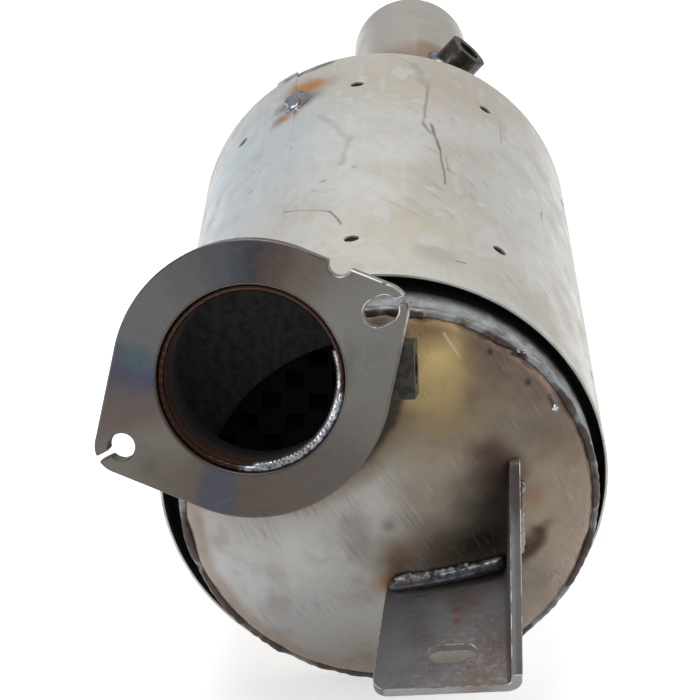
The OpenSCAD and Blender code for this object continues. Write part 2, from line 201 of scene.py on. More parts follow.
# %% Define the frames
RIGHT, BACK, UP = Vector((1, 0, 0)), Vector((0, 1, 0)), Vector((0, 0, 1))
INLET_MID = (0.0, 0.0, 0.0)
FLANGE_PITCH, FLANGE_YAW = radians(16.9), radians(5.2)
FLANGE = Matrix.Rotation(-FLANGE_YAW, 4, "Z") @ Matrix.Rotation(pi / 2 - FLANGE_PITCH, 4, "X")
AXIS = Vector((0.0541, 0.0662, -0.0797))
BODY = Matrix.Translation(AXIS) @ Matrix.Rotation(-pi / 2, 4, "X")
SHIELD_AXIS = AXIS + Vector((-0.0024, 0.0, 0.001))
CAN_FRONT, CAN_BACK = -0.0145, 0.3005
CROWN_MID, CROWN_R = 0.152, 0.190
BRACKET_SIDE, BRACKET_DROP = 0.0535, 0.023
BRACKET_PITCH, BRACKET_ROLL = radians(17.0), radians(-4.5)
BRACKET_ROOT = CROWN_MID - sqrt(CROWN_R ** 2 - BRACKET_SIDE ** 2)
BRACKET = (Matrix.Translation(AXIS + Vector((BRACKET_SIDE, BRACKET_ROOT, -BRACKET_DROP)))
           @ Matrix.Rotation(BRACKET_PITCH, 4, "X") @ Matrix.Rotation(BRACKET_ROLL, 4, "Y"))


def directions(local):
    """Where the x, y and z of a local frame point."""
    return [local.to_3x3() @ axis for axis in (RIGHT, BACK, UP)]


flange_right, flange_up, flange_out = directions(FLANGE)
print("the flange looks along", [round(c, 3) for c in flange_out])

# %% [markdown]
# ## Steel that heat has coloured
# Stainless sheet grows an oxide film where it gets hot: straw, then brown, purple and blue. The finishes
# are built from a few small helpers: a noise, a soft mask round a point, and a layer of colour.
# All of them read Object coordinates, so the pattern stays on the steel from every side.

# %% Define the finish helpers
def start_finish(name, rough, metal=1.0):
    finish = bpy.data.materials.new(name)
    finish.use_nodes = True
    tree = finish.node_tree
    shader = tree.nodes["Principled BSDF"]
    shader.inputs["Metallic"].default_value = metal
    shader.inputs["Roughness"].default_value = rough
    place = tree.nodes.new("ShaderNodeTexCoord").outputs["Object"]
    return finish, shader, place


def grain(place, scale, stretch=(1.0, 1.0, 1.0), detail=4.0, turn=(0.0, 0.0, 0.0)):
    """Noise with a number of features per metre, which a small stretch draws out along a turned axis."""
    mapping = add_node(place, "ShaderNodeMapping")
    mapping.vector_type = "TEXTURE"
    mapping.inputs["Rotation"].default_value = turn
    mapping.inputs["Scale"].default_value = [1.0 / share for share in stretch]
    link(place, mapping.inputs["Vector"])
    texture = add_node(place, "ShaderNodeTexNoise")
    texture.inputs["Scale"].default_value = scale
    texture.inputs["Detail"].default_value = detail
    link(mapping.outputs[0], texture.inputs["Vector"])
    return texture.outputs["Fac"]


def between(value, low, high, start=0.0, end=1.0):
    """Takes a value smoothly from one number to another while it goes from low to high."""
    step = add_node(value, "ShaderNodeMapRange")
    step.interpolation_type = "SMOOTHSTEP"
    for socket, number in (("From Min", low), ("From Max", high), ("To Min", start), ("To Max", end)):
        step.inputs[socket].default_value = number
    link(value, step.inputs["Value"])
    return step.outputs["Result"]


def vector_calc(operation, *values):
    return arithmetic("ShaderNodeVectorMath", operation, values)


def layer(below, colour, mask):
    """A colour laid over what is below it, as far as the mask lets it."""
    mix = add_node(mask, "ShaderNodeMix")
    mix.data_type = "RGBA"
    link(mask, mix.inputs["Factor"])
    if isinstance(below, tuple):
        mix.inputs[6].default_value = (*below, 1.0)
    else:
        link(below, mix.inputs[6])
    mix.inputs[7].default_value = (*colour, 1.0)
    return mix.outputs[2]


def along(place, direction, origin=(0.0, 0.0, 0.0)):
    """How far a point lies from an origin along a direction."""
    shift = vector_calc("SUBTRACT", place, origin)["Vector"]
    return vector_calc("DOT_PRODUCT", shift, direction)["Value"]


def from_axis(place, origin, right, up):
    """Distance from an axis, and the place across it to the right and up."""
    u, v = along(place, right, origin), along(place, up, origin)
    squares = calc("ADD", calc("MULTIPLY", u, u), calc("MULTIPLY", v, v))
    return calc("SQRT", squares), u, v


def round_body(place, middle):
    """Distance from an axis that runs along the body."""
    return from_axis(place, middle, RIGHT, UP)[0]


def ragged_edge(place, distance, scale, depth):
    return calc("MULTIPLY_ADD", grain(place, scale, detail=3.0), depth, distance)


def spot(place, centre, reach, strength=1.0, ragged=0.35):
    """A soft mask that is full at a point and gone at a reach from it, with a ragged edge."""
    away = vector_calc("DISTANCE", place, centre)["Value"]
    edge = ragged_edge(place, away, 1.1 / reach, ragged * reach * 2.0)
    return between(edge, reach * (0.1 + ragged), reach * (1.0 + ragged), strength, 0.0)


def emboss(shader, height, depth):
    bump = add_node(height, "ShaderNodeBump")
    bump.inputs["Distance"].default_value = depth
    link(height, bump.inputs["Height"])
    link(bump.outputs["Normal"], shader.inputs["Normal"])


def plug(shader, colour, rough=None, metal=None):
    """Links what a finish has made to its shader."""
    for socket, value in (("Base Color", colour), ("Roughness", rough), ("Metallic", metal)):
        if value is not None:
            link(value, shader.inputs[socket])


def set_finish(finish, *names):
    for name in names:
        nodes[name].data.materials.clear()
        nodes[name].data.materials.append(finish)


print("finish helpers ready")

# %% [markdown]
# ## The heat shield
# The shield is rolled from thin stainless sheet, so its sheen is dull and slightly streaked along the body.
# A single colour with gloss would look like plastic. Clouds, streaks, handling marks and the burn round the
# seam's tack weld are layered instead, each as a soft mask where the real sheet has it.

# %% Finish the heat shield
def shaken(place, scale, reach):
    """The place, moved a little to and fro by noise."""
    texture = add_node(place, "ShaderNodeTexNoise")
    texture.inputs["Scale"].default_value = scale
    link(place, texture.inputs["Vector"])
    shift = vector_calc("SUBTRACT", texture.outputs["Color"], (0.5, 0.5, 0.5))["Vector"]
    return vector_calc("MULTIPLY_ADD", shift, (4.0 * reach,) * 3, place)["Vector"]


def stroke(place, start, end, reach, strength=1.0):
    """A soft mask round the line between two points."""
    run = Vector(end) - Vector(start)
    place = shaken(place, 75.0, 0.5 * reach)
    share = calc("DIVIDE", along(place, run, start), run.length_squared)
    share.node.use_clamp = True
    nearest = vector_calc("MULTIPLY_ADD", share, run, start)["Vector"]
    away = vector_calc("DISTANCE", place, nearest)["Value"]
    return between(away, 0.15 * reach, reach, strength, 0.0)


def paint(place, colour, marks):
    """Layers a list of marks: a point or a line's two ends, a reach, a colour and a strength."""
    for where, reach, tint, strength in marks:
        if isinstance(where[0], tuple):
            mask = stroke(place, *where, reach, strength)
        else:
            mask = spot(place, where, reach, strength)
        colour = layer(colour, tint, mask)
    return colour


# Soot black. The same colour is also laid as painted shade on the shield's inside and on the can under the
# shield.
SOOT_AND_SHADE = (0.055, 0.058, 0.056)
SHEEN = (0.76, 0.77, 0.76)
SHIELD_INNER = 0.0940
SHIELD_CLOUDS = [
    ((-0.0100, 0.2900, -0.0060), 0.100, (0.57, 0.65, 0.71), 0.85),
    ((-0.0204, 0.2120, -0.0169), 0.085, (0.60, 0.66, 0.70), 0.75),
    ((0.0586, 0.3100, 0.0161), 0.085, (0.55, 0.48, 0.38), 0.6),
    ((0.0900, 0.3300, 0.0090), 0.060, (0.50, 0.43, 0.34), 0.5),
    ((0.0713, 0.1150, 0.0143), 0.065, (0.60, 0.54, 0.43), 0.6),
    ((0.1284, 0.2000, -0.0227), 0.075, (0.62, 0.655, 0.60), 0.6),
    ((0.0749, 0.0932, 0.0134), 0.016, (0.36, 0.32, 0.27), 0.4),
]
SHIELD_MARKS = [
    (((0.1284, 0.1500, -0.0227), (0.1315, 0.1077, -0.0272)), 0.010, (0.52, 0.45, 0.40), 0.45),
    (((0.0661, 0.3383, 0.0152), (0.0728, 0.3065, 0.0139)), 0.0045, (0.36, 0.33, 0.29), 0.45),
    (((0.0728, 0.3065, 0.0139), (0.0697, 0.2507, 0.0146)), 0.0012, (0.30, 0.28, 0.25), 0.7),
    (((0.0697, 0.2507, 0.0146), (0.0735, 0.2400, 0.0138)), 0.0018, (0.24, 0.23, 0.21), 0.7),
    (((0.0735, 0.2530, 0.0138), (0.0772, 0.2203, 0.0128)), 0.0013, (0.17, 0.16, 0.15), 0.85),
    (((0.0772, 0.2203, 0.0128), (0.0791, 0.1782, 0.0123)), 0.0009, (0.20, 0.19, 0.18), 0.8),
    (((0.0800, 0.2150, 0.0120), (0.0806, 0.1960, 0.0118)), 0.0008, (0.34, 0.32, 0.30), 0.6),
    (((0.0202, 0.2715, 0.0109), (0.0358, 0.2286, 0.0150)), 0.0030, (0.44, 0.42, 0.40), 0.5),
    (((0.0358, 0.2286, 0.0150), (0.0312, 0.1980, 0.0141)), 0.0026, (0.42, 0.40, 0.38), 0.5),
    ((0.0238, 0.1814, 0.0121), 0.0028, (0.30, 0.27, 0.23), 0.7),
    ((0.0377, 0.1911, 0.0153), 0.0024, (0.32, 0.29, 0.25), 0.7),
    ((0.0942, 0.1692, 0.0063), 0.0040, (0.80, 0.79, 0.62), 0.6),
    (((0.0820, 0.0918, 0.0114), (0.0853, 0.0926, 0.0101)), 0.0012, (0.20, 0.19, 0.17), 0.8),
    (((0.1257, 0.2235, -0.0191), (0.1250, 0.2113, -0.0183)), 0.0012, (0.25, 0.25, 0.23), 0.7),
    (((0.1088, 0.3038, -0.0028), (0.1078, 0.2690, -0.0021)), 0.0009, (0.36, 0.34, 0.31), 0.6),
    (((0.0051, 0.1625, 0.0041), (0.0279, 0.1424, 0.0133)), 0.0010, (0.25, 0.21, 0.16), 0.8),
    (((0.0279, 0.1424, 0.0133), (0.0330, 0.1245, 0.0144)), 0.0010, (0.25, 0.21, 0.16), 0.8),
    (((0.0029, 0.3470, 0.0028), (0.0236, 0.3500, 0.0121)), 0.0050, (0.10, 0.07, 0.05), 0.75),
    ((0.0128, 0.3230, 0.0080), 0.020, (0.44, 0.21, 0.06), 0.95),
    ((0.0014, 0.2880, 0.0019), 0.011, (0.34, 0.18, 0.08), 0.85),
    ((0.0087, 0.3060, 0.0060), 0.017, (0.13, 0.105, 0.10), 0.9),
]


def shield_steel():
    finish, shader, place = start_finish("shield_steel", 0.45, 0.5)
    cloud = grain(place, 18.0, detail=6.0)
    blotch = grain(place, 85.0, (1.0, 0.6, 1.0), 6.0)
    streak = grain(place, 240.0, (1.0, 0.05, 1.0), 3.0)
    scuff = grain(place, 330.0, (1.0, 0.07, 1.0), 3.0, (0.0, 0.0, radians(38.0)))
    handled = between(grain(place, 16.0, detail=3.0), 0.46, 0.6)
    colour = layer((0.66, 0.65, 0.62), (0.55, 0.52, 0.46), between(cloud, 0.42, 0.68, 0.0, 0.9))
    colour = paint(place, colour, SHIELD_CLOUDS)
    colour = layer(colour, (0.44, 0.41, 0.37), between(blotch, 0.50, 0.74, 0.0, 0.45))
    colour = layer(colour, SHEEN, between(blotch, 0.47, 0.32, 0.0, 0.5))
    colour = layer(colour, SHEEN, between(streak, 0.55, 0.75, 0.0, 0.25))
    scuffed = calc("MULTIPLY", between(scuff, 0.57, 0.72, 0.0, 0.6), handled)
    colour = layer(colour, (0.36, 0.345, 0.32), scuffed)
    colour = paint(place, colour, SHIELD_MARKS)
    # Painted shade: the inside of the shield is laid black, so the gap under its rim shows dark.
    reach = round_body(place, SHIELD_AXIS)
    colour = layer(colour, SOOT_AND_SHADE, between(reach, SHIELD_INNER + 0.0002, SHIELD_INNER))
    plug(shader, colour, between(blotch, 0.35, 0.7, 0.44, 0.6))
    emboss(shader, grain(place, 22.0, (1.0, 0.6, 1.0), 3.0), 0.0012)
    return finish


set_finish(shield_steel(), "heat_shield")
print("marks on the shield:", len(SHIELD_CLOUDS) + len(SHIELD_MARKS))

# %% [markdown]
# ## The can and the rear end
# The can shows as a narrow strip in front of the shield, and the rest of it lies under the shield, where it
# is painted black as shade. It is the same sheet as the rear end and the outlet pipe, pale where it is clean
# and brown towards the welds, so all three start from one finish with colours of their own.

# %% Finish the can, the rear end and the outlet
OUTLET_SIDE, OUTLET_RISE = 0.012, 0.0467
OUTLET_AXIS = AXIS + Vector((OUTLET_SIDE, 0.0, OUTLET_RISE))
CAN_BACK_Y = AXIS.y + CAN_BACK
HEAT_BROWN = (0.30, 0.20, 0.11)


def clean_sheet(name, colour, worn, metal, rough=0.32):
    finish, shader, place = start_finish(name, rough, metal)
    cloud = grain(place, 34.0, detail=5.0)
    streak = grain(place, 170.0, (1.0, 0.06, 1.0), 2.0)
    tone = layer(colour, worn, between(cloud, 0.42, 0.7, 0.0, 0.8))
    tone = layer(tone, (0.66, 0.66, 0.65), between(streak, 0.55, 0.75, 0.0, 0.35))
    link(between(cloud, 0.3, 0.7, rough, rough + 0.2), shader.inputs["Roughness"])
    emboss(shader, grain(place, 60.0, detail=2.0), 0.0004)
    return finish, shader, place, tone


def can_steel():
    finish, shader, place, tone = clean_sheet(
        "can_steel", (0.30, 0.31, 0.315), (0.20, 0.19, 0.18), 0.3, 0.65)
    run = along(place, BACK)
    mottle = grain(place, 130.0, detail=6.0)
    tone = layer(tone, (0.40, 0.425, 0.435), between(mottle, 0.48, 0.36, 0.0, 0.8))
    tone = layer(tone, (0.17, 0.14, 0.12), between(mottle, 0.52, 0.64, 0.0, 0.8))
    seam = ragged_edge(place, run, 110.0, 0.008)
    tone = layer(tone, (0.12, 0.085, 0.06), between(seam, 0.0590, 0.0565, 0.0, 0.85))
    # Painted shade: the can is laid black where it runs under the shield.
    tone = layer(tone, SOOT_AND_SHADE, between(run, 0.0680, 0.0700))
    plug(shader, tone)
    return finish


def rear_steel():
    finish, shader, place, tone = clean_sheet("rear_steel", (0.46, 0.45, 0.42), (0.34, 0.31, 0.27), 0.8)
    ring = ragged_edge(place, round_body(place, OUTLET_AXIS), 60.0, 0.008)
    tone = layer(tone, HEAT_BROWN, between(ring, 0.052, 0.042, 0.0, 0.8))
    tone = layer(tone, (0.10, 0.08, 0.09), between(ring, 0.041, 0.037, 0.0, 0.8))
    rim = ragged_edge(place, round_body(place, AXIS), 70.0, 0.008)
    tone = layer(tone, (0.24, 0.16, 0.10), between(rim, 0.083, 0.089, 0.0, 0.8))
    plug(shader, tone)
    return finish


def outlet_steel():
    finish, shader, place, tone = clean_sheet(
        "outlet_steel", (0.54, 0.515, 0.475), (0.42, 0.385, 0.34), 0.55)
    ring = round_body(place, OUTLET_AXIS)
    run = ragged_edge(place, along(place, BACK), 60.0, 0.014)
    heated = between(run, CAN_BACK_Y + 0.078, CAN_BACK_Y + 0.040, 0.0, 0.8)
    tone = layer(tone, HEAT_BROWN, heated)
    tone = paint(place, tone, [((0.078, 0.4200, -0.004), 0.016, (0.34, 0.20, 0.11), 0.7)])
    tone = layer(tone, SOOT_AND_SHADE, between(ring, 0.0312, 0.0308))
    plug(shader, tone)
    return finish


set_finish(can_steel(), "can_shell")
set_finish(rear_steel(), "rear_end_plate")
set_finish(outlet_steel(), "outlet_pipe")
print("clean sheet on 3 nodes")

# %% [markdown]
# ## The front end cone
# The cone takes the hottest gas, and the bracket and the neck are welded to it. Each weld leaves a scorch:
# black close by, then rust red, then gold. Bands that follow a radius are drawn from the axes, and what sits
# in one place is a soft spot. Some of it is painted light: pale patches on the lower cone, a highlight in the
# gold, shade that deepens the scorch beside the fin, and the flange's shadow below the neck. Inside, soot
# covers all of it, so the inner faces get a coat of their own.

# %% Finish the front end cone
# Painted light: pale grey patches on the lower cone, where light from the white floor falls.
CONE_PAINTED_LIGHT = [
    ((0.0174, 0.0327, -0.0986), 0.062, (0.40, 0.395, 0.385), 0.95),
    ((-0.0166, 0.0437, -0.1052), 0.050, (0.38, 0.37, 0.35), 0.9),
    ((-0.0043, 0.0429, -0.1241), 0.050, (0.43, 0.43, 0.43), 0.85),
    ((0.0424, 0.0323, -0.1174), 0.040, (0.33, 0.325, 0.315), 0.8),
    ((0.0167, 0.0433, -0.1439), 0.040, (0.32, 0.31, 0.30), 0.7),
    ((0.0817, 0.0459, -0.1549), 0.040, (0.36, 0.34, 0.32), 0.8),
    ((0.0431, 0.0289, -0.0671), 0.030, (0.36, 0.35, 0.335), 0.8),
]
SCORCH_AND_PAINTED_LIGHT = [
    ((0.0764, 0.0407, -0.0190), 0.042, (0.37, 0.275, 0.15), 0.8),
    # Straw heat tint, with a painted highlight at its bright centre.
    ((0.0720, 0.0415, -0.0125), 0.026, (0.95, 0.71, 0.31), 0.9),
    ((0.0744, 0.0370, -0.0263), 0.020, (0.36, 0.275, 0.14), 0.6),
    ((0.0702, 0.0480, 0.0030), 0.014, (0.26, 0.15, 0.08), 0.7),
    ((0.1000, 0.0470, -0.0120), 0.026, (0.27, 0.185, 0.145), 0.7),
    ((0.1153, 0.0471, -0.0242), 0.022, (0.27, 0.19, 0.155), 0.6),
    ((0.1242, 0.0437, -0.0522), 0.030, (0.22, 0.165, 0.115), 0.7),
    ((0.1190, 0.0397, -0.0850), 0.034, (0.235, 0.18, 0.125), 0.7),
    ((0.0955, 0.0353, -0.0500), 0.013, (0.10, 0.045, 0.032), 0.85),
    ((0.0540, 0.0307, -0.1085), 0.010, (0.30, 0.15, 0.06), 0.9),
    ((0.0589, 0.0290, -0.0961), 0.016, (0.16, 0.10, 0.06), 0.85),
    # The next five marks are burn deepened into painted shade, on the cone left of the fin.
    ((0.0790, 0.0301, -0.0925), 0.018, (0.075, 0.052, 0.038), 0.95),
    ((0.0950, 0.0330, -0.0690), 0.021, (0.052, 0.037, 0.029), 0.95),
    ((0.0935, 0.0324, -0.0870), 0.023, (0.034, 0.025, 0.020), 1.0),
    ((0.0990, 0.0347, -0.0575), 0.016, (0.050, 0.030, 0.023), 0.95),
    (((0.1085, 0.0372, -0.0985), (0.1165, 0.0395, -0.0890)), 0.0085, (0.040, 0.021, 0.013), 1.0),
    ((0.1125, 0.0385, -0.0700), 0.009, (0.19, 0.10, 0.06), 0.7),
    # Painted highlight: a bright streak across the gold.
    (((0.0758, 0.0465, -0.0014), (0.0824, 0.0435, -0.0106)), 0.0009, (0.80, 0.70, 0.48), 0.9),
    (((0.0880, 0.0500, -0.0010), (0.1010, 0.0490, -0.0080)), 0.0012, (0.07, 0.045, 0.035), 0.7),
    ((0.0946, 0.0464, -0.0092), 0.0022, (0.04, 0.03, 0.025), 0.9),
    ((0.1103, 0.0460, -0.0224), 0.0024, (0.04, 0.03, 0.025), 0.9),
    (((0.1190, 0.0475, -0.0300), (0.1215, 0.0465, -0.0345)), 0.0016, (0.05, 0.035, 0.03), 0.9),
]


def round_inlet(place):
    """Distance from the inlet's axis, and the place across it to the right and up."""
    return from_axis(place, INLET_MID, flange_right, flange_up)


def cone_steel():
    finish, shader, place = start_finish("cone_steel", 0.42, 0.7)
    cloud = grain(place, 30.0, detail=6.0)
    mottle = grain(place, 55.0, detail=6.0)
    brush = grain(place, 950.0, (1.0, 1.0, 0.05), 3.0, (0.0, radians(-33.0), 0.0))
    brushed = between(grain(place, 35.0, detail=2.0), 0.44, 0.58)
    colour = layer((0.235, 0.205, 0.165), (0.165, 0.14, 0.108), between(cloud, 0.38, 0.66))
    rim = ragged_edge(place, round_body(place, AXIS), 70.0, 0.007)
    colour = paint(place, colour, CONE_PAINTED_LIGHT)
    colour = layer(colour, (0.265, 0.205, 0.165), between(rim, 0.0785, 0.0845, 0.0, 0.75))
    neck = ragged_edge(place, round_inlet(place)[0], 80.0, 0.006)
    colour = layer(colour, (0.16, 0.11, 0.065), between(neck, 0.070, 0.061, 0.0, 0.8))
    colour = paint(place, colour, SCORCH_AND_PAINTED_LIGHT)
    # Painted shadow: a dark crescent on the cone below and right of the neck, where the flange shades it.
    below = between(along(place, flange_right - flange_up), 0.030, 0.060)
    flange_shadow = calc("MULTIPLY", between(neck, 0.0625, 0.0590, 0.0, 0.95), below)
    colour = layer(colour, (0.045, 0.030, 0.024), flange_shadow)
    colour = layer(colour, (0.13, 0.105, 0.08), between(mottle, 0.48, 0.72, 0.0, 0.4))
    shine = calc("MULTIPLY", between(brush, 0.50, 0.78, 0.0, 0.20), brushed)
    colour = layer(colour, (0.52, 0.48, 0.40), shine)
    dull = calc("MULTIPLY", between(brush, 0.48, 0.26, 0.0, 0.32), brushed)
    colour = layer(colour, (0.10, 0.082, 0.062), dull)
    colour = layer(colour, (0.075, 0.048, 0.035), between(rim, 0.0868, 0.0884, 0.0, 0.9))
    plug(shader, colour, between(cloud, 0.3, 0.7, 0.34, 0.54))
    emboss(shader, grain(place, 40.0, detail=3.0), 0.0006)
    return finish


def soot_coat():
    finish, shader, place = start_finish("soot_coat", 0.95, 0.0)
    flakes = between(grain(place, 280.0, detail=4.0), 0.4, 0.65)
    plug(shader, layer(SOOT_AND_SHADE, (0.03, 0.03, 0.03), flakes))
    return finish


cone_finishes = cone_steel(), soot_coat()
print("marks on the cone:", len(CONE_PAINTED_LIGHT) + len(SCORCH_AND_PAINTED_LIGHT))

# %% [markdown]
# ## The inlet pipe and the parts inside
# The pipe behind the flange has been red hot and is brown outside and sooty inside. Through the bore only
# darkness shows, but the filter's square channels, its mat and its seals are there, so each gets its own
# fine texture: porous ceramic, felted fibre and knitted wire.

# %% Finish the pipe and the inside
def inlet_steel():
    finish, shader, place = start_finish("inlet_steel", 0.5, 0.5)
    cloud = grain(place, 60.0, detail=5.0)
    colour = layer((0.13, 0.085, 0.06), (0.07, 0.05, 0.04), between(cloud, 0.4, 0.65))
    wall = round_inlet(place)[0]
    depth = ragged_edge(place, along(place, flange_out), 90.0, 0.006)
    inner = between(wall, 0.0354, 0.0350)
    colour = layer(colour, (0.15, 0.080, 0.055), inner)
    deep = calc("MULTIPLY", inner, between(depth, -0.009, -0.021))
    colour = layer(colour, SOOT_AND_SHADE, deep)
    plug(shader, colour, between(deep, 0.0, 1.0, 0.5, 0.95), between(deep, 0.0, 1.0, 0.5, 0.0))
    emboss(shader, cloud, 0.0004)
    return finish


def sooty_ceramic():
    finish, shader, place = start_finish("filter_ceramic", 0.95, 0.0)
    pores = grain(place, 900.0, detail=2.0)
    colour = layer((0.055, 0.050, 0.045), (0.02, 0.019, 0.018), between(pores, 0.4, 0.65))
    plug(shader, layer(colour, SOOT_AND_SHADE, between(along(place, BACK), 0.086, 0.0825)))
    emboss(shader, pores, 0.0003)
    return finish


def fibre(name, pale, dark, scale):
    finish, shader, place = start_finish(name, 0.95, 0.0)
    strands = grain(place, scale, (1.0, 0.2, 1.0), 5.0)
    plug(shader, layer(pale, dark, between(strands, 0.42, 0.62)))
    emboss(shader, strands, 0.0006)
    return finish


def knitted_wire():
    finish, shader, place = start_finish("seal_wire", 0.45, 1.0)
    loops = add_node(place, "ShaderNodeTexWave")
    loops.inputs["Scale"].default_value = 260.0
    loops.inputs["Distortion"].default_value = 6.0
    link(place, loops.inputs["Vector"])
    plug(shader, layer((0.10, 0.10, 0.10), (0.38, 0.37, 0.35), loops.outputs["Fac"]))
    emboss(shader, loops.outputs["Fac"], 0.0006)
    return finish


set_finish(inlet_steel(), "inlet_pipe")
set_finish(sooty_ceramic(), "filter_monolith")
set_finish(fibre("mat_fibre", (0.72, 0.69, 0.63), (0.50, 0.46, 0.40), 700.0), "support_mat")
# Painted shade: the insulation blanket is made near black, so the gap between the can and the shield shows
# dark.
set_finish(fibre("blanket_fibre", (0.022, 0.021, 0.020), (0.008, 0.008, 0.008), 500.0), "insulation_blanket")
set_finish(knitted_wire(), "front_mat_seal", "rear_mat_seal")
print("inner finishes set")

# %% [markdown]
# ## Softened edges
# The flange, the bosses and the bracket are cut from plate, and a cut edge is never knife sharp: it catches
# a thin line of light. The CAD solid stays as it is. A copy of it is merged, its flat triangles are dissolved
# into whole faces, and a Bevel modifier rounds what is left. The bevel's faces take a second, paler steel,
# which stands for edge wear and is also a painted highlight along the edge.

# %% Define how a plate is softened
MERGE_GAP = 2e-6
FLAT_ANGLE, SHARP_ANGLE, BEVEL_ANGLE = radians(0.8), radians(30.0), radians(40.0)


def add_piece(name, shape, slot, stands_for, *finishes):
    mesh = bpy.data.meshes.new(name)
    shape.to_mesh(mesh)
    shape.free()
    for finish in finishes:
        mesh.materials.append(finish)
    mesh.shade_smooth()
    piece = bpy.data.objects.new(name, mesh)
    scene.collection.objects.link(piece)
    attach(piece, "root")
    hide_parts(stands_for)
    print(name, "faces:", len(mesh.polygons))
    return piece


# Two steels mottled together. On the bevels of the bosses and the bracket, the paler one is edge wear and a
# painted highlight.
def mottled_steel(name, colour, dull):
    finish, shader, place = start_finish(name, 0.35, 0.9)
    speckle = grain(place, 240.0, detail=3.0)
    colour = layer(colour, dull, between(speckle, 0.42, 0.62))
    plug(shader, colour, between(speckle, 0.3, 0.7, 0.28, 0.5))
    return finish


def in_finish(shape, index):
    """Gives every face of a shape one of the piece's finishes."""
    for face in shape.faces:
        face.material_index = index
    return shape


def merged(node):
    """A copy of a CAD solid with its corners merged."""
    shape = bmesh.new()
    shape.from_mesh(nodes[node].data)
    bmesh.ops.remove_doubles(shape, verts=shape.verts, dist=MERGE_GAP)
    bmesh.ops.recalc_face_normals(shape, faces=shape.faces)
    return in_finish(shape, 0)


def soften(name, node, slot, width, *finishes):
    shape = merged(node)
    bmesh.ops.dissolve_limit(shape, angle_limit=FLAT_ANGLE, verts=shape.verts, edges=shape.edges)
    piece = add_piece(name, shape, slot, node, *finishes)
    piece.data.set_sharp_from_angle(angle=SHARP_ANGLE)
    bevel = piece.modifiers.new("cut_edge", "BEVEL")
    bevel.width = width
    bevel.segments = 2
    bevel.limit_method = "ANGLE"
    bevel.angle_limit = BEVEL_ANGLE
    bevel.material = 1
    return piece


print("edge helpers ready")

# %% [markdown]
# ## The inside of the cone
# The cone is one thin shell, tinted outside and black with soot inside. A ray goes from each face to a few
# points in the neck and in the chamber, and a face that sees one of them with no wall between is an inner
# one. Going by the distance from an axis is simpler, but fails here because the neck leans.

# %% Coat the inside of the cone
OFF_THE_FACE = 1e-4
INSIDE_POINTS = [-0.03 * flange_out, -0.05 * flange_out, AXIS + Vector((-0.03, -0.004, 0.04)),
                 AXIS + Vector((0.0, -0.010, 0.0)), AXIS + Vector((0.03, -0.004, -0.03))]


def coat_inside(shape):
    """Gives the second finish to the faces that see a point inside the shell."""
    shell = BVHTree.FromBMesh(shape)
    for face in shape.faces:
        start = face.calc_center_median() + OFF_THE_FACE * face.normal
        for point in INSIDE_POINTS:
            look = point - start
            wall = shell.ray_cast(start, look.normalized(), look.length)[0]
            if wall is None and look.dot(face.normal) > 0.0:
                face.material_index = 1
                break
    return shape


cone_shape = coat_inside(merged("front_end_cone"))
cone = add_piece("front_end_cone_dome", cone_shape, "cone_steel", "front_end_cone", *cone_finishes)
cone.data.set_sharp_from_angle(angle=SHARP_ANGLE)

# %% [markdown]
# ## The inlet flange
# The flange is a thick plate that carries bands of heat colour from its bore to its rim. A band stays at one
# angle round the bore, so a colour ramp is read by that angle. It is turned so that the ramp's two ends
# meet on the right, where the plate is a plain grey brown and no seam shows.

# %% Make the flange
def round_bore(place):
    """Angle round the bore as a share of a turn, from the right over the top and the left."""
    wall, u, v = round_inlet(place)
    turn = calc("ARCTAN2", calc("MULTIPLY", v, -1.0), calc("MULTIPLY", u, -1.0))
    return calc("MULTIPLY_ADD", turn, 0.5 / pi, 0.5), wall


def ramp(value, stops):
    colours = add_node(value, "ShaderNodeValToRGB")
    band = colours.color_ramp
    band.interpolation = "EASE"
    while len(band.elements) < len(stops):
        band.elements.new(0.5)
    for element, (position, colour) in zip(band.elements, stops):
        element.position = position
        element.color = (*colour, 1.0)
    link(value, colours.inputs["Fac"])
    return colours.outputs["Color"]


HEAT_BANDS = [
    (0.00, (0.230, 0.220, 0.200)), (0.10, (0.270, 0.260, 0.240)), (0.18, (0.185, 0.150, 0.125)),
    (0.216, (0.120, 0.086, 0.074)), (0.239, (0.062, 0.060, 0.072)), (0.268, (0.076, 0.086, 0.110)),
    (0.300, (0.108, 0.113, 0.128)), (0.340, (0.150, 0.142, 0.142)), (0.400, (0.180, 0.172, 0.176)),
    (0.455, (0.165, 0.168, 0.172)), (0.483, (0.095, 0.140, 0.165)), (0.508, (0.092, 0.090, 0.145)),
    (0.540, (0.160, 0.125, 0.112)), (0.600, (0.215, 0.192, 0.168)), (0.668, (0.150, 0.122, 0.100)),
    (0.692, (0.095, 0.088, 0.122)), (0.718, (0.088, 0.092, 0.122)), (0.750, (0.130, 0.100, 0.082)),
    (0.850, (0.140, 0.118, 0.104)), (1.00, (0.230, 0.220, 0.200)),
]


def flange_steel():
    finish, shader, place = start_finish("flange_steel", 0.5, 0.45)
    turn, wall = round_bore(place)
    cloud = grain(place, 45.0, detail=5.0)
    drift = grain(place, 45.0, detail=1.0)
    sway = calc("MULTIPLY_ADD", drift, 0.06, calc("SUBTRACT", turn, 0.03))
    colour = ramp(sway, HEAT_BANDS)
    fine = grain(place, 420.0, detail=3.0)
    colour = layer(colour, (0.20, 0.19, 0.18), between(fine, 0.5, 0.78, 0.0, 0.2))
    colour = layer(colour, (0.07, 0.06, 0.055), between(cloud, 0.55, 0.75, 0.0, 0.35))
    colour = layer(colour, (0.06, 0.036, 0.028), between(wall, 0.0382, 0.0372))
    plug(shader, colour, between(fine, 0.3, 0.7, 0.42, 0.6))
    emboss(shader, fine, 0.0002)
    return finish


